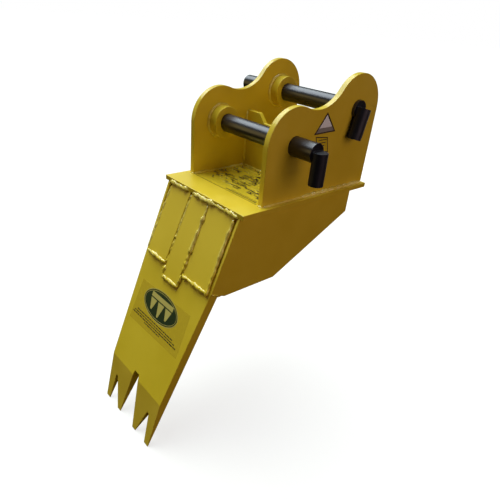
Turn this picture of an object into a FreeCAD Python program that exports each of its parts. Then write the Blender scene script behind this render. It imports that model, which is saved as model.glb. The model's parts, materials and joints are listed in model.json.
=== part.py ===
import FreeCAD, Part
import Sketcher
import math
import os
import re

# Ripper tooth attachment for a small excavator: a pinned headstock (two ears on a
# base plate), a closed welded box under it, and a raked blade cut into four tips.
# Frame, in millimetres: the origin is on the dipper pin's axis, midway between the
# ears. +X runs along the pins towards their handles, +Y to the rear, +Z up.

vec = FreeCAD.Vector

# ---------------------------------------------------------------- driving sizes
SIZES = {
    # headstock
    "ear_outer": 145.0,          # half the width over the ears
    "ear_thick": 15.0,
    "front_lobe_radius": 86.0,
    "rear_lobe_radius": 82.0,
    "valley_radius": 100.0,
    "link_back": 210.0,          # link pin's axis behind the dipper pin's
    "link_up": 65.0,             # and above it
    "plate_top": -132.0,
    "plate_thick": 12.0,
    "plate_half": 160.0,
    "plate_front": -155.0,
    "plate_length": 450.0,
    "boss_radius": 40.0,
    "boss_length": 30.0,
    "cross_front": 93.0,
    "cross_thick": 12.0,
    "cross_top": 21.0,
    "cross_dip": 23.0,
    "cross_shoulder": 81.0,      # half width where the dip's slopes start
    "cross_dip_half": 59.0,      # and where they end
    # pins
    "pin_radius": 22.5,
    "pin_play": 0.05,            # radial clearance of the pins in their bores
    "pin_length": 420.0,
    "pin_chamfer": 3.0,
    "dipper_pin_end": 211.0,     # handle end of the dipper pin, partly drawn out
    "link_pin_end": 153.0,       # handle end of the link pin, pushed home
    "grip_radius": 17.5,
    "grip_above": 5.0,           # grip above the pin's axis
    "grip_length": 73.5,
    "grip_out": 10.0,            # grip's axis beyond the pin's end
    "grip_gap": 0.3,
    "link_grip_swing": 14.0,     # degrees that the link pin's handle leans
    # box
    "box_half": 148.0,
    "side_thick": 8.0,
    "side_front": -153.6,
    "side_rear": 247.0,
    "rear_corner_z": -211.0,
    "belly_front": -20.0,
    "bottom_z": -341.0,
    "shoulder_y": -226.6,        # where the side plates meet the blade's shoulder
    "shoulder_z": -322.3,
    "shell_thick": 8.0,
    "rib_middle": 60.0,
    "rib_thick": 10.0,
    "rib_rear": 200.0,
    # blade, measured down its front face from the shoulder line
    "rake": 24.3,
    "blade_thick": 25.0,
    "shoulder_half": 147.0,
    "blade_reach": 480.0,
    "tip_half": 121.0,
    "bevel_start": 335.0,
    "tip_thick": 2.0,
    "cut_over": 1.0,             # how far the bevel's cut starts outside the plate
    "tongue_half": 139.5,
    "tongue_length": 195.0,
    "centre_apex": 320.0,
    "centre_apex_half": 11.0,
    "centre_mouth_half": 35.5,
    "side_apex": 389.0,
    "side_apex_inner": 84.5,
    "side_apex_outer": 92.0,
    "side_mouth_inner": 52.0,
    "side_mouth_outer": 101.0,
    # panels on the blade's front face
    "panel_thick": 6.0,
    "panel_top": 192.0,          # above the shoulder line
    "panel_gap_left": 8.0,       # seams each side of the centre panel
    "panel_gap_right": 4.5,
    "panel_outer_top": 129.0,
    "panel_outer_bottom": 137.0,
    "panel_drop": 3.0,
    "tongue_panel_left": 38.5,
    "tongue_panel_right": 28.0,
    "tongue_panel_drop": 38.0,
}

doc = FreeCAD.newDocument("ripper_tooth")
sheet = doc.addObject("Spreadsheet::Sheet", "Sizes")
for row, (alias, value) in enumerate(SIZES.items(), start=1):
    sheet.set("A%d" % row, alias)
    sheet.set("B%d" % row, str(value))
    sheet.setAlias("B%d" % row, alias)
doc.recompute()

sub_parts = []


# ---------------------------------------------------------------- small helpers
def bound(text):
    """An expression in the sheet's words, with each word made a sheet reference."""
    def reference(match):
        word = match.group()
        return "Sizes." + word if word in SIZES else word
    return re.sub(r"[a-z_]+", reference, str(text))


def number(text):
    """The present value of an expression, worked out in the sheet's spare cell."""
    sheet.set("D1", "=" + str(text))
    sheet.recompute()
    return float(sheet.get("D1"))


def place(obj, base=("0", "0", "0"), turn=None):
    """Bind an object's Placement: where it stands, and a turn about an axis."""
    if turn:
        axis, angle = turn
        obj.Placement = FreeCAD.Placement(vec(), FreeCAD.Rotation(axis, number(angle)))
        obj.setExpression("Placement.Rotation.Angle", bound(angle))
    for letter, text in zip("xyz", base):
        obj.setExpression("Placement.Base." + letter, bound(text))


def keep(obj, label):
    """Name a finished sub-part."""
    obj.Label = label
    sub_parts.append(obj)
    return obj


def new_body(label):
    return keep(doc.addObject("PartDesign::Body", label), label)


def new_sketch(body, role, name):
    """A sketch on one of its own body's origin planes."""
    sketch = body.newObject("Sketcher::SketchObject", name)
    plane = [item for item in body.Origin.OriginFeatures if item.Role == role][0]
    sketch.AttachmentSupport = [(plane, "")]
    sketch.MapMode = "FlatFace"
    return sketch


def hold(sketch, kind, *where, size):
    """A constraint whose size comes from an expression."""
    index = sketch.addConstraint(Sketcher.Constraint(kind, *where, number(size)))
    sketch.setExpression("Constraints[%d]" % index, bound(size))


def outline(sketch, corners):
    """A closed outline of straight edges through corners given as expressions."""
    points = [vec(number(u), number(v), 0) for u, v in corners]
    edges = []
    for start, end in zip(points, points[1:] + points[:1]):
        edges.append(sketch.addGeometry(Part.LineSegment(start, end), False))
    for edge, after in zip(edges, edges[1:] + edges[:1]):
        sketch.addConstraint(Sketcher.Constraint("Coincident", edge, 2, after, 1))
    for edge, (u, v) in zip(edges, corners):
        hold(sketch, "DistanceX", -1, 1, edge, 1, size=u)
        hold(sketch, "DistanceY", -1, 1, edge, 1, size=v)


def ring(sketch, radius, centre=("0", "0")):
    """A full circle in a sketch."""
    middle = vec(number(centre[0]), number(centre[1]), 0)
    circle = Part.Circle(middle, vec(0, 0, 1), number(radius))
    index = sketch.addGeometry(circle, False)
    hold(sketch, "DistanceX", -1, 1, index, 3, size=centre[0])
    hold(sketch, "DistanceY", -1, 1, index, 3, size=centre[1])
    hold(sketch, "Radius", index, size=radius)


def pad(body, sketch, length, backwards=False):
    feature = body.newObject("PartDesign::Pad", sketch.Name + "_pad")
    feature.Profile = sketch
    feature.setExpression("Length", bound(length))
    feature.Reversed = backwards
    doc.recompute()


def plate(label, role, corners, thick, base=("0", "0", "0"), turn=None, backwards=False):
    """A flat plate cut to a straight-sided outline."""
    body = new_body(label)
    sketch = new_sketch(body, role, label + "_outline")
    outline(sketch, corners)
    pad(body, sketch, thick, backwards)
    place(body, base, turn)
    return body


# ---------------------------------------------------------------- headstock
def base_plate():
    box = keep(doc.addObject("Part::Box", "base_plate"), "base_plate")
    box.setExpression("Length", bound("2 * plate_half"))
    box.setExpression("Width", bound("plate_length"))
    box.setExpression("Height", bound("plate_thick"))
    place(box, ("-plate_half", "plate_front", "plate_top - plate_thick"))


def ear_outline(sketch):
    """Two lobes concentric with the pins, joined by a hollow, on a straight foot."""
    front = number("front_lobe_radius")
    rear = number("rear_lobe_radius")
    hollow = number("valley_radius")
    link = vec(number("link_back"), number("link_up"), 0)
    foot = number("plate_top")
    # the hollow's centre lies above, touching both lobes
    apart = link.Length
    along = ((front + hollow) ** 2 - (rear + hollow) ** 2 + apart ** 2) / (2 * apart)
    across = math.sqrt((front + hollow) ** 2 - along ** 2)
    unit = link.normalize()
    valley = unit * along + vec(-unit.y, unit.x, 0) * across
    link = unit * apart
    to_front = math.atan2(valley.y, valley.x)
    to_rear = math.atan2(valley.y - link.y, valley.x - link.x)
    up = vec(0, 0, 1)

    def arc(centre, radius, start, end):
        return sketch.addGeometry(
            Part.ArcOfCircle(Part.Circle(centre, up, radius), start, end), False)

    def line(y1, z1, y2, z2):
        return sketch.addGeometry(Part.LineSegment(vec(y1, z1, 0), vec(y2, z2, 0)), False)

    back = link.x + rear
    sole = line(-front, foot, back, foot)
    heel = line(back, foot, back, link.y)
    rear_lobe = arc(link, rear, 0, to_rear)
    dip = arc(valley, hollow, to_front + math.pi, to_rear + math.pi)
    front_lobe = arc(vec(), front, to_front, math.pi)
    toe = line(-front, 0, -front, foot)
    for constraint in (
            ("Coincident", sole, 2, heel, 1), ("Tangent", heel, 2, rear_lobe, 1),
            ("Tangent", rear_lobe, 2, dip, 2), ("Tangent", dip, 1, front_lobe, 1),
            ("Tangent", front_lobe, 2, toe, 1), ("Coincident", toe, 2, sole, 1),
            ("Horizontal", sole), ("Vertical", heel), ("Vertical", toe),
            ("Coincident", front_lobe, 3, -1, 1)):
        sketch.addConstraint(Sketcher.Constraint(*constraint))
    hold(sketch, "DistanceX", -1, 1, rear_lobe, 3, size="link_back")
    hold(sketch, "DistanceY", -1, 1, rear_lobe, 3, size="link_up")
    hold(sketch, "DistanceY", -1, 1, sole, 1, size="plate_top")
    hold(sketch, "Radius", front_lobe, size="front_lobe_radius")
    hold(sketch, "Radius", rear_lobe, size="rear_lobe_radius")
    hold(sketch, "Radius", dip, size="valley_radius")


def ear(label, inner_x):
    body = new_body(label)
    sketch = new_sketch(body, "YZ_Plane", label + "_outline")
    ear_outline(sketch)
    ring(sketch, "pin_radius + pin_play")
    ring(sketch, "pin_radius + pin_play", ("link_back", "link_up"))
    pad(body, sketch, "ear_thick")
    place(body, (inner_x, "0", "0"))


def boss(label, inner_x, y, z):
    body = new_body(label)
    sketch = new_sketch(body, "YZ_Plane", label + "_section")
    ring(sketch, "boss_radius")
    ring(sketch, "pin_radius + pin_play")
    pad(body, sketch, "boss_length")
    place(body, (inner_x, y, z))


def cross_plate():
    half = "ear_outer - ear_thick"
    low = "cross_top - cross_dip"
    corners = [("-(%s)" % half, "plate_top"), (half, "plate_top"), (half, "cross_top"),
               ("cross_shoulder", "cross_top"), ("cross_dip_half", low),
               ("-cross_dip_half", low), ("-cross_shoulder", "cross_top"),
               ("-(%s)" % half, "cross_top")]
    plate("cross_plate", "XZ_Plane", corners, "cross_thick",
          base=("0", "cross_front", "0"), backwards=True)


# ---------------------------------------------------------------- pins
def pin(label, end_x, y, z):
    """A turned bar, chamfered at its far end, drawn out by its handle end."""
    body = new_body(label)
    sketch = new_sketch(body, "XZ_Plane", label + "_profile")
    outline(sketch, [("-pin_length", "0"), ("0", "0"), ("0", "pin_radius"),
                     ("pin_chamfer - pin_length", "pin_radius"),
                     ("-pin_length", "pin_radius - pin_chamfer")])
    turned = body.newObject("PartDesign::Revolution", label + "_turned")
    turned.Profile = sketch
    turned.ReferenceAxis = (sketch, ["H_Axis"])
    turned.Angle = 360
    doc.recompute()
    place(body, (end_x, y, z))


def handle(label, end_x, y, z, swing):
    """A short bar across the pin's end, cut to sit over the end and hang down."""
    bar = doc.addObject("Part::Cylinder", label + "_bar")
    bar.setExpression("Radius", bound("grip_radius"))
    bar.setExpression("Height", bound("grip_length"))
    place(bar, ("grip_out", "0", "grip_above - grip_length"))
    seat = doc.addObject("Part::Cylinder", label + "_seat")
    seat.setExpression("Radius", bound("pin_radius + grip_gap"))
    seat.setExpression("Height", bound("grip_radius"))
    place(seat, ("grip_gap - grip_radius", "0", "0"), (vec(0, 1, 0), "90"))
    cut = keep(doc.addObject("Part::Cut", label), label)
    cut.Base = bar
    cut.Tool = seat
    place(cut, (end_x, y, z), (vec(-1, 0, 0), swing))


# ---------------------------------------------------------------- box
PLATE_UNDER = "plate_top - plate_thick"
GRADE = "((rear_corner_z - bottom_z) / (side_rear - belly_front))"
LIFT = "(shell_thick * sqrt(1 + %s ^ 2))" % GRADE


def belly_z(y):
    """Height of the sloping belly plate's inner face at y."""
    return "(rear_corner_z + ((%s) - side_rear) * %s + %s)" % (y, GRADE, LIFT)


def blade_back(z):
    """How far back the blade's rear face is at height z."""
    return "(shoulder_y + blade_thick / cos(rake) + ((%s) - shoulder_z) * tan(rake))" % z


INNER_HALF = "(box_half - side_thick)"
FLOOR = "(bottom_z + shell_thick)"
BELLY_FOOT = "(side_rear + (%s - rear_corner_z - %s) / %s)" % (FLOOR, LIFT, GRADE)


def side_plate(label, inner_x):
    heel_y = "shoulder_y + (shoulder_z - bottom_z) / tan(rake)"
    corners = [("side_front", PLATE_UNDER), ("shoulder_y", "shoulder_z"),
               (heel_y, "bottom_z"), ("belly_front", "bottom_z"),
               ("side_rear", "rear_corner_z"), ("side_rear", PLATE_UNDER)]
    plate(label, "YZ_Plane", corners, "side_thick", base=(inner_x, "0", "0"))


def box_plates():
    """The closing plates, which run across between the side plates."""
    across = "2 * " + INNER_HALF
    start = ("-" + INNER_HALF, "0", "0")
    inner_rear = "side_rear - shell_thick"
    plate("box_rear_plate", "YZ_Plane",
          [(inner_rear, PLATE_UNDER), (inner_rear, belly_z(inner_rear)),
           ("side_rear", belly_z("side_rear")), ("side_rear", PLATE_UNDER)],
          across, start)
    plate("box_belly_plate", "YZ_Plane",
          [("side_rear", "rear_corner_z"), ("side_rear", belly_z("side_rear")),
           (BELLY_FOOT, FLOOR), ("belly_front", "bottom_z")],
          across, start)
    plate("box_bottom_plate", "YZ_Plane",
          [("belly_front", "bottom_z"), (BELLY_FOOT, FLOOR),
           (blade_back(FLOOR), FLOOR), (blade_back("bottom_z"), "bottom_z")],
          across, start)


def inner_rib(label, low_x):
    corners = [(blade_back(PLATE_UNDER), PLATE_UNDER), ("rib_rear", PLATE_UNDER),
               ("rib_rear", belly_z("rib_rear")), (BELLY_FOOT, FLOOR),
               (blade_back(FLOOR), FLOOR)]
    plate(label, "YZ_Plane", corners, "rib_thick", base=(low_x, "0", "0"))


# ---------------------------------------------------------------- blade
RAKE_TURN = (vec(-1, 0, 0), "rake")
SHOULDER = ("0", "shoulder_y", "shoulder_z")


def blade():
    """One thick plate: a tongue up into the box, shoulders, and four bevelled tips."""
    right = [("tongue_half", "tongue_length"), ("tongue_half", "0"),
             ("shoulder_half", "0"), ("tip_half", "-blade_reach"),
             ("side_mouth_outer", "-blade_reach"), ("side_apex_outer", "-side_apex"),
             ("side_apex_inner", "-side_apex"), ("side_mouth_inner", "-blade_reach"),
             ("centre_mouth_half", "-blade_reach"), ("centre_apex_half", "-centre_apex")]
    left = [("-" + u, v) for u, v in reversed(right)]
    body = plate("blade", "XZ_Plane", right + left, "blade_thick",
                 SHOULDER, RAKE_TURN, backwards=True)
    # the long bevel that thins the front of the tips
    depth = "(blade_thick - tip_thick) * (blade_reach + cut_over - bevel_start) /"
    depth += " (blade_reach - bevel_start)"
    sketch = new_sketch(body, "YZ_Plane", "bevel")
    outline(sketch, [("0", "-bevel_start"), ("-cut_over", "-bevel_start"),
                     ("-cut_over", "-blade_reach - cut_over"),
                     (depth, "-blade_reach - cut_over")])
    before = body.Shape.Volume
    cut = body.newObject("PartDesign::Pocket", "bevel_cut")
    cut.Profile = sketch
    cut.Type = "ThroughAll"
    cut.Midplane = True
    doc.recompute()
    removed = before - body.Shape.Volume
    print("bevel removes %.0f mm3" % removed)
    if removed < 1000:
        raise RuntimeError("the bevel cut nothing")


def front_panel(label, corners):
    """A thin plate laid on the blade's front face."""
    plate(label, "XZ_Plane", corners, "panel_thick", SHOULDER, RAKE_TURN)


def front_panels():
    left = "-(tongue_panel_left + panel_gap_left)"
    right = "tongue_panel_right + panel_gap_right"
    front_panel("front_panel_left",
                [("-panel_outer_top", "panel_top"), ("-panel_outer_bottom", "-panel_drop"),
                 (left, "-panel_drop"), (left, "panel_top")])
    front_panel("front_panel_right",
                [("panel_outer_top", "panel_top"), (right, "panel_top"),
                 (right, "-panel_drop"), ("panel_outer_bottom", "-panel_drop")])
    front_panel("front_panel_centre",
                [("-tongue_panel_left", "panel_top"),
                 ("-tongue_panel_left", "-tongue_panel_drop"),
                 ("tongue_panel_right", "-tongue_panel_drop"),
                 ("tongue_panel_right", "panel_top")])


# ---------------------------------------------------------------- the whole part
base_plate()
ear("ear_left", "-ear_outer")
ear("ear_right", "ear_outer - ear_thick")
left_boss_x = "ear_thick - ear_outer"
right_boss_x = "ear_outer - ear_thick - boss_length"
boss("dipper_boss_left", left_boss_x, "0", "0")
boss("dipper_boss_right", right_boss_x, "0", "0")
boss("link_boss_left", left_boss_x, "link_back", "link_up")
boss("link_boss_right", right_boss_x, "link_back", "link_up")
cross_plate()
pin("dipper_pin_shaft", "dipper_pin_end", "0", "0")
pin("link_pin_shaft", "link_pin_end", "link_back", "link_up")
handle("dipper_pin_handle", "dipper_pin_end", "0", "0", "0")
handle("link_pin_handle", "link_pin_end", "link_back", "link_up", "link_grip_swing")
side_plate("side_plate_left", "-box_half")
side_plate("side_plate_right", INNER_HALF)
box_plates()
inner_rib("inner_rib_left", "-rib_middle - rib_thick / 2")
inner_rib("inner_rib_right", "rib_middle - rib_thick / 2")
blade()
front_panels()

sheet.clear("D1")
doc.recompute()
for obj in doc.Objects:
    if "Invalid" in obj.State or "Error" in obj.State:
        raise RuntimeError("%s failed to build: %s" % (obj.Label, obj.State))
for obj in sub_parts:
    shape = obj.Shape
    if shape.isNull() or not shape.isValid() or len(shape.Solids) != 1:
        raise RuntimeError("%s is not one sound solid" % obj.Label)

os.makedirs("parts", exist_ok=True)
for obj in sub_parts:
    obj.Shape.exportStep("parts/%s.step" % obj.Label)
    box = obj.Shape.BoundBox
    print("%-20s %9.1f cm3   x %7.1f %7.1f   y %7.1f %7.1f   z %7.1f %7.1f" % (
        obj.Label, obj.Shape.Volume / 1000, box.XMin, box.XMax,
        box.YMin, box.YMax, box.ZMin, box.ZMax))
print("%d sub-parts" % len(sub_parts))
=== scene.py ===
"""Paint, welds, labels and light for the ripper tooth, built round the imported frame."""
import json
import math
import random

import bmesh
import bpy
from mathutils import Matrix, Vector, noise


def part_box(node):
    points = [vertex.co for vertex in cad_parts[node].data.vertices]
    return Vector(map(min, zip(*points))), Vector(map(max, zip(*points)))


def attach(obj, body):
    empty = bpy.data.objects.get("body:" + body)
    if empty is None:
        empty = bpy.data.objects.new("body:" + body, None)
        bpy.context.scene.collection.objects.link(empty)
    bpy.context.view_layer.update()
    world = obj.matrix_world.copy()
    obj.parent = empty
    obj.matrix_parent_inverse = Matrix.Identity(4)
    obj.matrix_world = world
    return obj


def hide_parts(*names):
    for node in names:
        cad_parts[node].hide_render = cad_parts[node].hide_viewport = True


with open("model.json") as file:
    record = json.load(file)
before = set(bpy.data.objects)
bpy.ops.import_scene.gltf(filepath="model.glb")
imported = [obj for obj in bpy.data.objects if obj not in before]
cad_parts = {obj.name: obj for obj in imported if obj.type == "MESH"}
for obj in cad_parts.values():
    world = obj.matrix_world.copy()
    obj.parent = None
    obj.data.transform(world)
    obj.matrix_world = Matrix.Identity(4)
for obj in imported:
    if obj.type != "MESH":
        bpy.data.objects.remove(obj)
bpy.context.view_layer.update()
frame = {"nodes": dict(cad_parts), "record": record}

MM = 0.001
STEEL = "frame"

# ------------------------------------------------------------------ places from the frame
plate_low, plate_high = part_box("base_plate")
ear_low, ear_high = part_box("ear_right")
cross_low, cross_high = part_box("cross_plate")
side_low, side_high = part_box("side_plate_right")
floor_low, floor_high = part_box("box_bottom_plate")
rear_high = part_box("box_rear_plate")[1]
belly_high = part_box("box_belly_plate")[1]
dipper_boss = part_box("dipper_boss_right")
link_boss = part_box("link_boss_right")

# The blade's front face is a plane that leans forward from the shoulder line.
RAKE = math.radians(24.3)
SHOULDER = Vector((0, side_low.y, -322.3 * MM))
DOWN = Vector((0, -math.sin(RAKE), -math.cos(RAKE)))
OUT = Vector((0, -math.cos(RAKE), math.sin(RAKE)))
X, Y, Z = Vector((1, 0, 0)), Vector((0, 1, 0)), Vector((0, 0, 1))
BLADE_THICK = 25 * MM
REAR_CORNER_Z = side_low.z + 130 * MM      # where the belly plate meets the rear plate
LINK_HANDLE_LEAN = math.radians(14)

# The front panels, in millimetres across and down from the shoulder line.
PANEL_TOP = -192
PANEL_FOOT = 3
TONGUE_FOOT = 38
TONGUE = (-38.5, 28)
SEAM_LEFT, SEAM_RIGHT = 8, 4.5
PANEL_EDGE = (129, 137)


def on_blade(x, down, out=0.0):
    """A point x across and down along the blade's front face, and out from it."""
    return SHOULDER + X * x + DOWN * down + OUT * out


# ------------------------------------------------------------------ materials
def new_material(name):
    made = bpy.data.materials.new(name)
    made.use_nodes = True
    return made, made.node_tree, made.node_tree.nodes["Principled BSDF"]


def texture_space(tree, stretch=(1, 1, 1)):
    coords = tree.nodes.new("ShaderNodeTexCoord")
    mapping = tree.nodes.new("ShaderNodeMapping")
    mapping.inputs["Scale"].default_value = stretch
    tree.links.new(coords.outputs["Object"], mapping.inputs["Vector"])
    return mapping.outputs["Vector"]


def noise_at(tree, space, scale, detail=2.0, roughness=0.5):
    made = tree.nodes.new("ShaderNodeTexNoise")
    made.inputs["Scale"].default_value = scale
    made.inputs["Detail"].default_value = detail
    made.inputs["Roughness"].default_value = roughness
    tree.links.new(space, made.inputs["Vector"])
    return made.outputs["Fac"]


def ramp(tree, value, stops):
    made = tree.nodes.new("ShaderNodeValToRGB")
    for _ in stops[2:]:
        made.color_ramp.elements.new(0.5)
    for element, (place, colour) in zip(made.color_ramp.elements, stops):
        element.position = place
        element.color = (*colour, 1)
    tree.links.new(value, made.inputs["Fac"])
    return made.outputs["Color"]


def spread(tree, value, low, high):
    """A noise value, which lies mostly between 0.3 and 0.7, spread over low to high."""
    made = tree.nodes.new("ShaderNodeMapRange")
    made.inputs["From Min"].default_value = 0.3
    made.inputs["From Max"].default_value = 0.7
    made.inputs["To Min"].default_value = low
    made.inputs["To Max"].default_value = high
    tree.links.new(value, made.inputs["Value"])
    return made.outputs["Result"]


def bump(tree, value, depth, strength, under=None):
    made = tree.nodes.new("ShaderNodeBump")
    made.inputs["Distance"].default_value = depth
    made.inputs["Strength"].default_value = strength
    tree.links.new(value, made.inputs["Height"])
    if under:
        tree.links.new(under, made.inputs["Normal"])
    return made.outputs["Normal"]


def mixed(tree, amount, first, second, mode="MIX"):
    made = tree.nodes.new("ShaderNodeMix")
    made.data_type = "RGBA"
    made.blend_type = mode
    tree.links.new(amount, made.inputs["Factor"])
    tree.links.new(first, made.inputs["A"])
    tree.links.new(second, made.inputs["B"])
    return made.outputs["Result"]


def sprayed_paint(name, thin, thick, gloss, peel, coat=0.2):
    """Sprayed enamel: slightly uneven in thickness, with orange peel and some dust."""
    made, tree, shader = new_material(name)
    space = texture_space(tree)
    layer = ramp(tree, noise_at(tree, space, 7, 4), [(0.36, thin), (0.66, thick)])
    dust = ramp(tree, noise_at(tree, space, 55, 6, 0.7), [(0.64, (0, 0, 0)), (0.92, (0.05,) * 3)])
    dusty = ramp(tree, noise_at(tree, space, 90, 3), [(0.3, (0.50, 0.40, 0.10)), (0.7, (0.60, 0.50, 0.18))])
    tree.links.new(mixed(tree, dust, layer, dusty), shader.inputs["Base Color"])
    tree.links.new(spread(tree, noise_at(tree, space, 28, 4), *gloss), shader.inputs["Roughness"])
    rolled = bump(tree, noise_at(tree, space, 16, 2), 1.2 * MM, 0.25)
    orange_peel = bump(tree, noise_at(tree, space, 330, 2), 0.25 * MM, peel, rolled)
    tree.links.new(orange_peel, shader.inputs["Normal"])
    shader.inputs["Coat Weight"].default_value = coat
    shader.inputs["Coat Roughness"].default_value = 0.12
    return made


def black_steel(name, stretch, gloss, shine):
    """Blackened bar: turning marks round it, and faint rubbed streaks along it."""
    made, tree, shader = new_material(name)
    streaks = noise_at(tree, texture_space(tree, stretch), 40, 4, 0.6)
    colour = ramp(tree, streaks, [(0.45, (0.007, 0.008, 0.012)), (0.62, (0.012, 0.013, 0.019)),
                                  (0.80, (0.030, 0.031, 0.040))])
    tree.links.new(colour, shader.inputs["Base Color"])
    even = texture_space(tree)
    tree.links.new(spread(tree, noise_at(tree, even, 60, 4), *gloss), shader.inputs["Roughness"])
    turning = bump(tree, noise_at(tree, texture_space(tree, (900, 6, 6)), 1, 2), 0.12 * MM, 0.1)
    pitted = bump(tree, noise_at(tree, even, 420, 3), 0.10 * MM, 0.05, turning)
    tree.links.new(pitted, shader.inputs["Normal"])
    shader.inputs["Specular IOR Level"].default_value = shine
    shader.inputs["Specular Tint"].default_value = (0.88, 0.86, 1.0, 1)
    return made


def printed(name, colour, worn, wear, roughness=0.45):
    """Ink of a label: a little faded, and rubbed through in spots."""
    made, tree, shader = new_material(name)
    space = texture_space(tree)
    rubbed = ramp(tree, noise_at(tree, space, 110, 5, 0.7), [(wear, colour), (wear + 0.12, worn)])
    tree.links.new(rubbed, shader.inputs["Base Color"])
    tree.links.new(bump(tree, noise_at(tree, space, 260, 2), 0.1 * MM, 0.2), shader.inputs["Normal"])
    shader.inputs["Roughness"].default_value = roughness
    return made


YELLOW = sprayed_paint("yellow_enamel", (0.76, 0.555, 0.028), (0.82, 0.61, 0.038), (0.28, 0.42), 0.30)
# A darker, browner enamel for the tips' bevels: painted shade, since those faces tilt down away from the
# light.
TIP_PAINTED_SHADE_YELLOW = sprayed_paint("tip_enamel_painted_shade", (0.70, 0.485, 0.036), (0.78, 0.55, 0.048), (0.34, 0.50), 0.45)
# Enamel on the welds and spatter: the welds are painted yellow, and their paleness over the plates' enamel
# is painted highlight on the beads.
WELD_ENAMEL_PAINTED_HIGHLIGHT = sprayed_paint("weld_enamel_painted_highlight", (0.84, 0.64, 0.05), (0.96, 0.82, 0.24), (0.10, 0.22), 0.10, 0.9)
PIN_BLACK = black_steel("blackened_pin", (0.15, 4, 4), (0.29, 0.33), 0.9)
GRIP_BLACK = black_steel("blackened_grip", (4, 4, 0.15), (0.42, 0.56), 0.4)
LABEL_GREEN = printed("label_green", (0.008, 0.030, 0.010), (0.05, 0.07, 0.02), 0.66)
LABEL_PALE = printed("label_pale", (0.58, 0.50, 0.14), (0.66, 0.52, 0.08), 0.62)
LABEL_WHITE = printed("label_white", (0.95, 1.0, 1.0), (0.80, 0.80, 0.70), 0.68)
LABEL_GREY = printed("label_grey", (0.30, 0.29, 0.26), (0.45, 0.38, 0.20), 0.60)
LABEL_INK = printed("label_ink", (0.030, 0.022, 0.010), (0.16, 0.11, 0.02), 0.62)
FADED_INK = printed("faded_ink", (0.070, 0.042, 0.007), (0.52, 0.36, 0.020), 0.62, 0.34)
# Pale strokes for the base plate's film: the film is glossy, and the paleness is painted glints.
GLOSSY_FILM_PAINTED_GLINT = printed("glossy_film_painted_glint", (0.90, 0.72, 0.10), (0.74, 0.56, 0.03), 0.56, 0.18)
CLEAR_FILM = printed("clear_film", (0.66, 0.470, 0.030), (0.70, 0.510, 0.034), 0.50, 0.26)
WORN_FILM = printed("worn_film", (0.70, 0.53, 0.03), (0.78, 0.58, 0.03), 0.50, 0.24)


# ------------------------------------------------------------------ making pieces
def new_piece(name, mesh, body, material):
    mesh.materials.append(material)
    piece = bpy.data.objects.new(name, mesh)
    bpy.context.scene.collection.objects.link(piece)
    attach(piece, body)
    return piece


def mesh_from(name, shape, smooth=True):
    bmesh.ops.recalc_face_normals(shape, faces=shape.faces)
    mesh = bpy.data.meshes.new(name)
    shape.to_mesh(mesh)
    shape.free()
    for face in mesh.polygons:
        face.use_smooth = smooth
    return mesh


def softened(node, body, width, material, crease=30):
    """Stands for a CAD plate or bar: the same shape with its sharp edges eased.
    Edges that turn by more than crease degrees stay crisp in the shading."""
    shape = bmesh.new()
    shape.from_mesh(frame["nodes"][node].data)
    bmesh.ops.remove_doubles(shape, verts=shape.verts, dist=0.01 * MM)
    bmesh.ops.dissolve_limit(shape, angle_limit=math.radians(0.5), verts=shape.verts, edges=shape.edges)
    mesh = mesh_from("skin_" + node, shape)
    for layer in list(mesh.uv_layers):
        mesh.uv_layers.remove(layer)
    for attribute in [a.name for a in mesh.attributes if a.name == "custom_normal"]:
        mesh.attributes.remove(mesh.attributes[attribute])
    mesh.materials.clear()
    mesh.set_sharp_from_angle(angle=math.radians(crease))
    piece = new_piece("skin_" + node, mesh, body, material)
    eased = piece.modifiers.new("eased_edges", "BEVEL")
    eased.width = width
    eased.segments = 3
    eased.limit_method = "ANGLE"
    eased.angle_limit = math.radians(28)
    eased.harden_normals = True
    eased.miter_outer = "MITER_ARC"
    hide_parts(node)
    return piece


def sampled(corners, step):
    """Points about step apart along straight runs."""
    points = []
    for start, end in zip(corners, corners[1:]):
        count = max(2, round((end - start).length / step))
        points += [start.lerp(end, i / count) for i in range(count)]
    points.append(corners[-1])
    return points


def arc_points(centre, radius, first, second, start, end, count=48):
    """Points on an arc in the plane of two directions, from one angle to another."""
    angles = [start + (end - start) * i / count for i in range(count + 1)]
    return [centre + first * radius * math.cos(a) + second * radius * math.sin(a) for a in angles]


RIPPLE = 4.2 * MM
BEAD_STEP = 1.2 * MM
bead_count = 0


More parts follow.
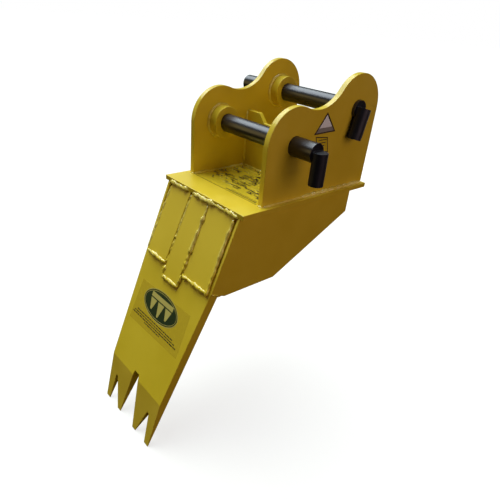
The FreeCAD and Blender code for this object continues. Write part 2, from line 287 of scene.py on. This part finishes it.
def bead(name, corners, radius, out, body=STEEL, material=None,
         sides=10, lumps=0.2):
    """A weld bead laid along a path: rippled in crescents, uneven, and tapered at its ends."""
    global bead_count
    bead_count += 1
    seed = 7.3 * bead_count
    points = sampled(corners, BEAD_STEP)
    shape = bmesh.new()
    rings = []
    length = 0.0
    total = sum((b - a).length for a, b in zip(points, points[1:]))
    for index, point in enumerate(points):
        after = points[min(index + 1, len(points) - 1)]
        before = points[max(index - 1, 0)]
        along = (after - before).normalized()
        if index:
            length += (point - points[index - 1]).length
        facing = out(point) if callable(out) else out
        normal = (facing - along * facing.dot(along)).normalized()
        across = along.cross(normal)
        swell = 1 + lumps * 2 * noise.noise(Vector((length / (16 * MM), seed, 0)))
        sway = normal * radius * 0.3 * noise.noise(Vector((length / (11 * MM), seed, 5)))
        sway += across * radius * 0.3 * noise.noise(Vector((length / (13 * MM), seed, 9)))
        near_end = min(length, total - length)
        taper = min(1.0, math.sqrt(0.05 + near_end / (1.6 * radius)))
        ring = []
        for side in range(sides):
            angle = 2 * math.pi * side / sides
            phase = length / RIPPLE + 0.45 * math.cos(angle)
            phase += 0.3 * noise.noise(Vector((seed, length * 90, 2)))
            crescent = 1 - 0.17 * (phase % 1.0) ** 1.5
            reach = radius * swell * taper * crescent
            ring.append(shape.verts.new(
                point + sway * taper + normal * reach * math.cos(angle) + across * reach * math.sin(angle)))
        rings.append(ring)
    for ring, other in zip(rings, rings[1:]):
        for side in range(sides):
            following = (side + 1) % sides
            shape.faces.new((ring[side], ring[following], other[following], other[side]))
    shape.faces.new(rings[0])
    shape.faces.new(rings[-1][::-1])
    return new_piece("weld_" + name, mesh_from("weld_" + name, shape), body, material or WELD_ENAMEL_PAINTED_HIGHLIGHT)


# How high the layers of a label lie over its surface.
ON_PAINT, ON_FILM, ON_INK = 0.05 * MM, 0.2 * MM, 0.35 * MM


def decal(name, outlines, place, material, lift, body=STEEL, thick=0.12 * MM):
    """Flat printed shapes: each outline is cut out and laid at a height over its surface."""
    shape = bmesh.new()
    for outline in outlines:
        low = [shape.verts.new(place(u, v, lift)) for u, v in outline]
        high = [shape.verts.new(place(u, v, lift + thick)) for u, v in outline]
        shape.faces.new(low)
        shape.faces.new(high[::-1])
        for i, j in zip(range(len(low)), [*range(1, len(low)), 0]):
            shape.faces.new((low[i], low[j], high[j], high[i]))
    return new_piece("label_" + name, mesh_from("label_" + name, shape, False), body, material)


def bar(u, v, width, height):
    """The four corners of a rectangle about a middle."""
    w, h = width / 2, height / 2
    return [(u - w, v - h), (u + w, v - h), (u + w, v + h), (u - w, v + h)]


# ------------------------------------------------------------------ plates and pins
def paint_shade_on_tips(blade):
    """The bevelled faces of the tips take a darker, browner enamel: painted shade, as these faces tilt down
    away from the light.
    """
    blade.data.materials.append(TIP_PAINTED_SHADE_YELLOW)
    flattest, steepest = math.cos(math.radians(6)), math.cos(math.radians(12))
    for face in blade.data.polygons:
        if steepest < face.normal.dot(OUT) < flattest:
            face.material_index = 1


EASED, THIN_EASED = 1.2 * MM, 0.8 * MM
for node in frame["record"]["behaviour"]["bodies"][STEEL]:
    thin = node.startswith(("front", "box", "inner"))
    round_edged = node.startswith("ear") or "boss" in node
    softened(node, STEEL, THIN_EASED if thin else EASED, YELLOW, 30 if round_edged else 4)
paint_shade_on_tips(bpy.data.objects["skin_blade"])
for name in ("dipper_pin", "link_pin"):
    softened(name + "_shaft", name, 0.5 * MM, PIN_BLACK)
    softened(name + "_handle", name + "_grip", 1.0 * MM, GRIP_BLACK)


# ------------------------------------------------------------------ welds on the front
def front_welds():
    """Beads round the three panels: a foot, a seam or an edge at a time."""
    left, right = TONGUE
    inner, outer = PANEL_EDGE
    top, foot, tongue_foot = PANEL_TOP - 2, PANEL_FOOT, TONGUE_FOOT
    seam_left = left - SEAM_LEFT / 2
    seam_right = right + SEAM_RIGHT

    def run(name, start, end, radius, lumps):
        bead(name, [on_blade(*(v * MM for v in start)), on_blade(*(v * MM for v in end))],
             radius * MM, OUT, lumps=lumps, sides=12)

    run("top_left", (-137, top, 7), (-50, top, 7), 6.0, 0.4)
    run("top_right", (-38, top, 7), (142, top, 7), 6.6, 0.4)
    run("seam_left", (seam_left, top + 6, 1.6), (seam_left, foot, 1.6), 4.4, 0.5)
    run("seam_right", (seam_right, top + 10, 6.4), (seam_right, foot - 8, 6.4), 5.0, 0.5)
    run("tongue_left", (left - 1, foot + 5, 3), (left - 1, tongue_foot - 5, 3), 5.4, 0.5)
    run("tongue_right", (right + 1, foot + 2, 3), (right + 1, tongue_foot, 3), 5.6, 0.5)
    run("tongue_foot", (left - 2, tongue_foot, 4), (right + 3, tongue_foot, 4), 6.4, 0.3)
    run("left_foot", (-outer - 2, foot, 4), (seam_left - 3, foot, 4), 6.0, 0.3)
    run("right_foot", (seam_right, foot, 4), (outer - 2, foot, 4.5), 7.0, 0.42)
    run("left_edge", (-inner - 0.5, top + 10, 3.4), (-outer - 0.5, foot - 4, 3.4), 4.0, 0.2)
    run("right_edge", (inner - 0.5, top + 10, 5.2), (outer - 0.5, foot + 8, 5.2), 4.6, 0.3)


# ------------------------------------------------------------------ welds on the headstock
def headstock_welds():
    foot = plate_high.z
    for turn, side in ((-1, "left"), (1, "right")):
        outer, inner = turn * ear_high.x, turn * ear_low.x
        away = X * turn
        bead("ear_foot_front_" + side, [Vector((outer, ear_low.y + 4 * MM, foot)),
                                        Vector((outer, 60 * MM, foot))],
             3.6 * MM, away + Z, lumps=0.15)
        end = ear_high.y
        bead("ear_foot_rear_" + side,
             [Vector((outer + turn * MM, 45 * MM, foot)), Vector((outer + turn * MM, end - 5 * MM, foot))],
             7.0 * MM, away + Z, lumps=0.3, sides=12)
        heel = end - 0.5 * MM
        bead("ear_heel_" + side, [Vector((outer, heel, foot)), Vector((inner, heel, foot))],
             2.6 * MM, Y + Z, lumps=0.15)
        bead("ear_toe_" + side, [Vector((inner - turn * 2 * MM, ear_low.y, foot)),
                                 Vector((outer + turn * 2 * MM, ear_low.y, foot))],
             3.8 * MM, Z - Y, lumps=0.3)
        bead("ear_inside_front_" + side, [Vector((inner, ear_low.y, foot)),
                                          Vector((inner, cross_low.y, foot))],
             4.5 * MM, Z - away)
        bead("ear_inside_rear_" + side, [Vector((inner, cross_high.y, foot)),
                                         Vector((inner, end, foot))],
             4.5 * MM, Z - away)
        for name, y, facing in (("front", cross_low.y, -1), ("rear", cross_high.y, 1)):
            bead("cross_%s_%s" % (name, side),
                 [Vector((inner, y, foot)), Vector((inner, y, cross_high.z - 2 * MM))],
                 4.2 * MM, Y * facing - away)
        for name, (low, high) in (("dipper", dipper_boss), ("link", link_boss)):
            middle = (low + high) / 2
            centre = Vector((inner, middle.y, middle.z))
            radius = (high.z - low.z) / 2
            around = arc_points(centre, radius + 0.5 * MM, Y, Z, 0, 2 * math.pi, 72)
            bead("boss_%s_%s" % (name, side), around, 4.6 * MM,
                 lambda p, c=centre, a=away: (p - c).normalized() - a, lumps=0.12)
    for name, y, facing in (("front", cross_low.y, -1), ("rear", cross_high.y, 1)):
        bead("cross_foot_" + name, [Vector((-ear_low.x, y, foot)), Vector((ear_low.x, y, foot))],
             4.2 * MM, Y * facing + Z)


# ------------------------------------------------------------------ welds on the box
def box_welds():
    under = plate_low.z
    for turn, side in ((-1, "left"), (1, "right")):
        outer = turn * side_high.x
        seam = turn * side_low.x
        away = X * turn
        bead("side_top_" + side, [Vector((outer, side_high.y - 330 * MM, under)),
                                  Vector((outer, side_high.y - 2 * MM, under))],
             3.8 * MM, away - Z)
        rear = [Vector((seam, side_high.y, under - 2 * MM)),
                Vector((seam, side_high.y, belly_high.z - 9 * MM))]
        bead("rear_seam_" + side, rear, 3.0 * MM, Y + away * 0.3)
        slope = [Vector((seam, side_high.y, REAR_CORNER_Z)), Vector((seam, floor_high.y, side_low.z))]
        bead("belly_seam_" + side, slope, 3.0 * MM, away * 0.3 - Z)
        bottom = [Vector((seam, floor_high.y, side_low.z)), Vector((seam, floor_low.y + 6 * MM, side_low.z))]
        bead("bottom_seam_" + side, bottom, 3.0 * MM, away * 0.3 - Z)
        heel = SHOULDER - OUT * BLADE_THICK
        bead("shoulder_" + side, [SHOULDER + X * (outer - turn * MM) - OUT * 2 * MM,
                                  heel + X * (outer - turn * MM)],
             3.2 * MM, away + DOWN)
    bead("blade_heel", [Vector((-side_low.x, floor_low.y, side_low.z)),
                        Vector((side_low.x, floor_low.y, side_low.z))],
         5.0 * MM, Y * 0.4 - Z)
    bead("rear_top", [Vector((-side_low.x, rear_high.y, under)), Vector((side_low.x, rear_high.y, under))],
         4.2 * MM, Y - Z)
    bead("rear_corner", [Vector((-side_low.x, rear_high.y - 0.5 * MM, REAR_CORNER_Z)),
                         Vector((side_low.x, rear_high.y - 0.5 * MM, REAR_CORNER_Z))],
         3.0 * MM, Y - Z)


def handle_welds():
    """The bead that joins each handle to its pin's end."""
    for name, lean in (("dipper_pin", 0.0), ("link_pin", LINK_HANDLE_LEAN)):
        shaft_low, shaft_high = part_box(name + "_shaft")
        middle = (shaft_low + shaft_high) / 2
        end = Vector((shaft_high.x + 1.2 * MM, middle.y, middle.z))
        turn = Matrix.Rotation(-lean, 3, "X")
        side, top, foot = 15.0 * MM, 5.5 * MM, -15.5 * MM
        path = [(-side, foot), (-side, top - 2 * MM), (-side + 2 * MM, top),
                (side - 2 * MM, top), (side, top - 2 * MM), (side, foot)]
        corners = [end + turn @ Vector((0, y, z)) for y, z in path]
        bead("handle_" + name, corners, 2.6 * MM,
             lambda p, c=end: (p - c).normalized() + X, body=name + "_grip",
             material=GRIP_BLACK, lumps=0.2)


def spatter():
    """Small drops of weld metal, stuck near the panel welds and painted over."""
    chance = random.Random(5)
    shape = bmesh.new()
    runs = [(-130, -45, 8), (35, 130, 8), (-38, 28, 44)]
    for low, high, down in runs:
        for _ in range(16):
            x = chance.uniform(low, high) * MM
            s = (down + abs(chance.gauss(0, 7))) * MM
            size = chance.uniform(0.5, 1.1) * MM
            place = Matrix.Translation(on_blade(x, s, 0.1 * MM))
            bmesh.ops.create_icosphere(shape, subdivisions=2, radius=size, matrix=place)
    new_piece("weld_spatter", mesh_from("weld_spatter", shape), STEEL, WELD_ENAMEL_PAINTED_HIGHLIGHT)


front_welds()
headstock_welds()
box_welds()
handle_welds()
spatter()


# ------------------------------------------------------------------ labels
def ellipse(u, v, half_u, half_v, count=72):
    angles = [2 * math.pi * i / count for i in range(count)]
    return [(u + half_u * math.cos(a), v + half_v * math.sin(a)) for a in angles]


def ring_of(u, v, half_u, half_v, width, count=72):
    """A thin elliptical band, as a row of four-sided pieces."""
    outer = ellipse(u, v, half_u, half_v, count)
    inner = ellipse(u, v, half_u - width, half_v - width, count)
    return [[outer[i], outer[(i + 1) % count], inner[(i + 1) % count], inner[i]] for i in range(count)]


def blade_badge():
    """A plain oval badge with a three-toothed comb, over rows of plain dashes, on a clear film."""
    film = [(-114 * MM, 84 * MM), (110 * MM, 78 * MM), (118 * MM, 198 * MM), (-116 * MM, 204 * MM)]
    decal("badge_film", [film], on_blade, CLEAR_FILM, ON_PAINT)
    u, v = -5.5 * MM, 117.5 * MM
    half_u, half_v = 78 * MM, 40 * MM
    decal("badge", [ellipse(u, v, half_u, half_v)], on_blade, LABEL_GREEN, ON_FILM)
    decal("badge_rim", ring_of(u, v, half_u + 2.4 * MM, half_v + 2.4 * MM, 1.6 * MM),
          on_blade, LABEL_PALE, ON_FILM)
    decal("badge_line", ring_of(u, v, half_u - 3 * MM, half_v - 3 * MM, 1.3 * MM),
          on_blade, LABEL_PALE, ON_INK)
    comb = [bar(u, v - 19 * MM, 100 * MM, 13 * MM)]
    for column, tall in ((-1, 22), (0, 30), (1, 22)):
        x = u + column * 35 * MM
        comb.append([(x - 14 * MM, v - 9 * MM), (x + 14 * MM, v - 9 * MM), (x + 3 * MM, v + tall * MM),
                     (x - 3 * MM, v + tall * MM)])
    decal("badge_comb", comb, on_blade, LABEL_PALE, ON_INK)
    dashes = []
    chance = random.Random(11)
    for down, start, end, tall in ((166, -94, 82, 3.0), (173, -104, 90, 2.6),
                                   (179.5, -110, 98, 3.0), (186, -46, 30, 2.6)):
        x = start
        while x < end:
            width = chance.uniform(5, 15)
            dashes.append(bar((x + width / 2) * MM, down * MM, width * MM, tall * MM))
            x += width + 1.8
    decal("dashes", dashes, on_blade, LABEL_INK, ON_FILM)


def ear_labels():
    """A plain triangle and a small plain frame on the near ear."""
    def place(y, z, lift):
        return Vector((ear_high.x + lift, y, z))

    def shrunk(corners, share):
        centre = [sum(c[i] for c in corners) / len(corners) for i in (0, 1)]
        return [tuple(centre[i] + (c[i] - centre[i]) * share for i in (0, 1)) for c in corners]

    triangle = [(59.5 * MM, 18 * MM), (137 * MM, 20 * MM), (97 * MM, 67 * MM)]
    decal("triangle_border", [triangle], place, LABEL_INK, ON_PAINT)
    decal("triangle", [shrunk(triangle, 0.80)], place, LABEL_WHITE, ON_FILM)
    band = [(66 * MM, 21.5 * MM), (130 * MM, 23 * MM), (121 * MM, 33 * MM), (76 * MM, 32 * MM)]
    decal("triangle_band", [band], place, LABEL_GREY, ON_INK)
    frame_corners = [(67.6 * MM, 13.5 * MM), (76.8 * MM, -22.8 * MM), (122.9 * MM, -28.7 * MM),
                     (112.4 * MM, 8.7 * MM)]
    decal("small_border", [frame_corners], place, LABEL_INK, ON_PAINT)
    decal("small_field", [shrunk(frame_corners, 0.88)], place, WORN_FILM, ON_FILM)
    rows = [bar(95 * MM, (4 - 7 * i) * MM, (30 - 6 * i) * MM, 2 * MM) for i in range(3)]
    decal("small_rows", rows, place, LABEL_INK, ON_INK)


def floor_label():
    """A large worn film on the base plate, printed with plain strokes now half gone; its pale strokes are
    painted glints.
    """
    def place(x, y, lift):
        return Vector((x, y, plate_high.z + lift))

    front, back, half = -86 * MM, 84 * MM, 124 * MM
    decal("film", [[(-half, front), (half, front), (half, back), (-half, back)]], place, WORN_FILM, ON_PAINT)
    line = 1.6 * MM
    decal("film_edge", [bar(0, front + line, 2 * half, line), bar(0, back - line, 2 * half, line),
                        bar(58 * MM, front + 9 * MM, 116 * MM, 2 * line),
                        bar(64 * MM, front + 15 * MM, 96 * MM, line),
                        bar(101 * MM, front + 30 * MM, 20 * MM, 5 * MM),
                        bar(106 * MM, front + 37 * MM, 9 * MM, 8 * MM)],
          place, FADED_INK, ON_FILM)
    chance = random.Random(31)
    dark, bright = [], []
    columns, rows = 10, 7
    for row in range(rows):
        for column in range(columns):
            x = -half + (column + 0.5) * 2 * half / columns + chance.uniform(-3, 3) * MM
            y = front + 24 * MM + (row + 0.4) * (back - front - 26 * MM) / rows
            if chance.random() < 0.12:
                continue
            for along, deep, lean in ((32, 0, 0), (28, 6, 0), (24, 11, 0), (19, 5, -34)):
                if chance.random() < 0.3:
                    continue
                turn = math.radians(lean + chance.uniform(-9, 9))
                long, wide = along * chance.uniform(0.6, 1.15) * MM, chance.uniform(2.6, 4.6) * MM
                middle = (x + chance.uniform(-5, 5) * MM, y + (deep + chance.uniform(-2, 2)) * MM)
                shape = [(middle[0] + a * math.cos(turn) - b * math.sin(turn),
                          middle[1] + a * math.sin(turn) + b * math.cos(turn))
                         for a, b in bar(0, 0, long, wide)]
                # About three strokes in ten are pale: painted glints, not print.
                (bright if chance.random() < 0.3 else dark).append(shape)
    decal("film_strokes", dark, place, FADED_INK, ON_FILM)
    decal("film_painted_glint_strokes", bright, place, GLOSSY_FILM_PAINTED_GLINT, ON_INK)


blade_badge()
ear_labels()
floor_label()


# ------------------------------------------------------------------ camera, floor and light
def set_camera():
    azimuth, elevation, roll = (math.radians(a) for a in (47.8, 32.376, 4.588))
    ahead = Vector((-math.sin(azimuth) * math.cos(elevation),
                    math.cos(azimuth) * math.cos(elevation), -math.sin(elevation)))
    level = Vector((math.cos(azimuth), math.sin(azimuth), 0))
    above = level.cross(ahead)
    right = level * math.cos(roll) + above * math.sin(roll)
    up = above * math.cos(roll) - level * math.sin(roll)
    data = bpy.data.cameras.new("camera")
    data.sensor_width = 36
    data.lens = 31.676
    data.shift_x = 0.0282
    data.shift_y = 0.0708
    data.clip_start = 0.01
    camera = bpy.data.objects.new("camera", data)
    bpy.context.scene.collection.objects.link(camera)
    turn = Matrix((right, up, -ahead)).transposed().to_4x4()
    camera.matrix_world = Matrix.Translation(Vector((828.3, -767.0, 260.7)) * MM) @ turn
    bpy.context.scene.camera = camera


def set_floor():
    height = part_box("blade")[0].z - 0.5 * MM
    shape = bmesh.new()
    bmesh.ops.create_circle(shape, cap_ends=True, radius=30, segments=64,
                            matrix=Matrix.Translation((0, 0, height)))
    mesh = mesh_from("floor", shape, False)
    made, tree, shader = new_material("pale_floor")
    space = texture_space(tree)
    colour = ramp(tree, noise_at(tree, space, 3, 3), [(0.3, (0.34, 0.34, 0.34)), (0.7, (0.36, 0.36, 0.36))])
    tree.links.new(colour, shader.inputs["Base Color"])
    shader.inputs["Roughness"].default_value = 0.9
    shader.inputs["Specular IOR Level"].default_value = 0.1
    shader.inputs["Emission Color"].default_value = (1, 1, 1, 1)
    shader.inputs["Emission Strength"].default_value = 0.70
    mesh.materials.append(made)
    floor = bpy.data.objects.new("floor", mesh)
    bpy.context.scene.collection.objects.link(floor)
    floor.visible_diffuse = False
    floor.visible_glossy = False


def softbox(name, place, aim, size, power, colour):
    data = bpy.data.lights.new(name, "AREA")
    data.shape = "RECTANGLE"
    data.size, data.size_y = size
    data.energy = power
    data.color = colour
    lamp = bpy.data.objects.new(name, data)
    bpy.context.scene.collection.objects.link(lamp)
    lamp.location = place
    lamp.rotation_euler = (Vector(aim) - Vector(place)).to_track_quat("-Z", "Y").to_euler()
    lamp.visible_camera = False


def set_light():
    scene = bpy.context.scene
    scene.view_settings.view_transform = "Standard"
    world = bpy.data.worlds.new("white_room")
    world.use_nodes = True
    world.node_tree.nodes["Background"].inputs["Color"].default_value = (1, 1, 1, 1)
    world.cycles_visibility.diffuse = False
    world.cycles_visibility.glossy = False
    scene.world = world
    sky = bpy.data.lights.new("overhead", "SUN")
    sky.energy = 3.9
    sky.angle = math.radians(64)
    sky.color = (0.89, 1.0, 0.98)
    sun = bpy.data.objects.new("overhead", sky)
    scene.collection.objects.link(sun)
    sun.rotation_euler = Vector((-0.45, 0.05, 1)).to_track_quat("Z", "Y").to_euler()
    softbox("front", (-2.3, -2.6, 0.6), (0, -0.3, -0.4), (2.4, 1.8), 15.5, (1.0, 0.77, 0.24))
    softbox("right", (3.1, 0.2, 0.7), (0, 0, -0.2), (2.9, 2.2), 30, (1.0, 0.71, 0.66))
    softbox("rear", (-0.5, 3.0, -0.1), (0, 0, -0.4), (2.4, 0.9), 13, (1.0, 0.93, 0.80))
    softbox("left", (-3.0, 0.8, 0.8), (0, 0, -0.1), (2.0, 2.0), 6, (1.0, 0.92, 0.80))


set_camera()
set_floor()
set_light()
